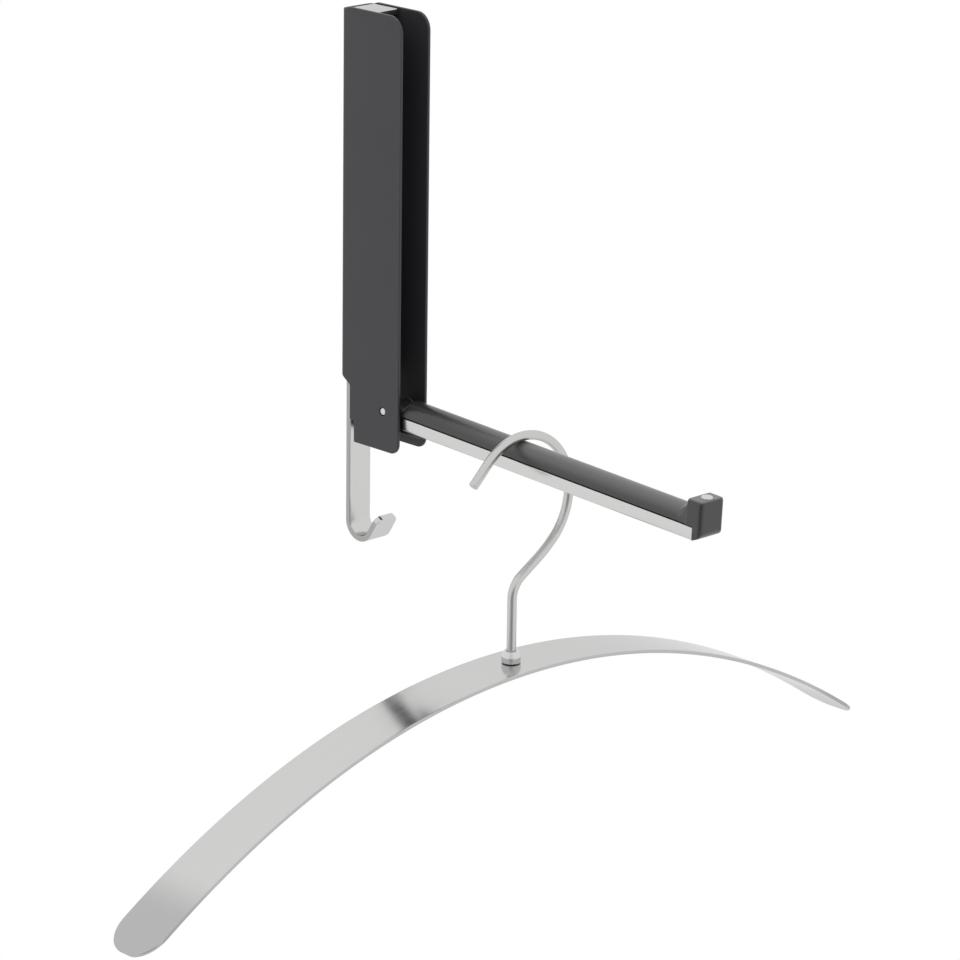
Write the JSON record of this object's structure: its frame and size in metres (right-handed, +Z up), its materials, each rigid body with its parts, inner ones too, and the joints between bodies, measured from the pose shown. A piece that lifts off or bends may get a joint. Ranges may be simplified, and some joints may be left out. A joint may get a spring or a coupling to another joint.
{
  "type": "wall mounted clothes valet",
  "caption": "Wall-mounted clothes valet: a black channel with a fold-down steel and black arm, a J hook below it, and an arched steel strip hanger hanging on the arm by its wire hook.",
  "frame": {"origin": "middle of the housing's back face, on the wall plane", "axes": "+Z up, -Y out of the wall into the room, X along the wall"},
  "size_m": [0.462, 0.2312, 0.3679],
  "materials": {
    "black_coating": "fine matt powder coating",
    "black_plastic": "satin moulded",
    "satin_steel": "satin, brushed along the strip",
    "wire_steel": "satin drawn wire",
    "bright_steel": "turned bright",
    "bush_bronze": "sintered",
    "nylon": "black nylon"
  },
  "bodies": {
    "wall_unit": {"housing": "black_coating", "hook_strip": "satin_steel", "arm_stop": "black_coating", "pivot_pin": "bright_steel", "pivot_washer_left": "nylon", "pivot_washer_right": "nylon", "wall_screw_upper": "bright_steel", "wall_screw_lower": "bright_steel"},
    "arm": {"arm_bar": "black_plastic", "arm_rail": "satin_steel", "pivot_bush": "bush_bronze", "end_screw": "bright_steel", "rail_screw_1": "bright_steel", "rail_screw_2": "bright_steel", "rail_screw_3": "bright_steel"},
    "hanger_upper": {"hanger_hook": "wire_steel", "hanger_washer": "nylon", "hanger_cap_nut": "bright_steel"},
    "hanger_lower": {"hanger_strip": "satin_steel", "hanger_collar": "bright_steel"}
  },
  "joints": [
    {"name": "arm_fold", "type": "hinge", "parent": "wall_unit", "child": "arm", "pos_m": [0, -0.0292, -0.084], "axis": [-1, 0, 0], "range_deg": [0, 93.3]},
    {"name": "hanger_lift", "type": "slide", "parent": "wall_unit", "child": "hanger_upper", "axis": [0, -0.4563, 0.8898], "range_m": [0, 0.358]},
    {"name": "hanger_swivel", "type": "hinge", "parent": "hanger_upper", "child": "hanger_lower", "pos_m": [-0.005, -0.1129, -0.1864], "axis": [0, 0, 1], "range_deg": [-25, 25]}
  ],
  "couplings": [
    {"joint": "hanger_lift", "follows": "arm_fold", "m_per_rad": 0.2191}
  ]
}
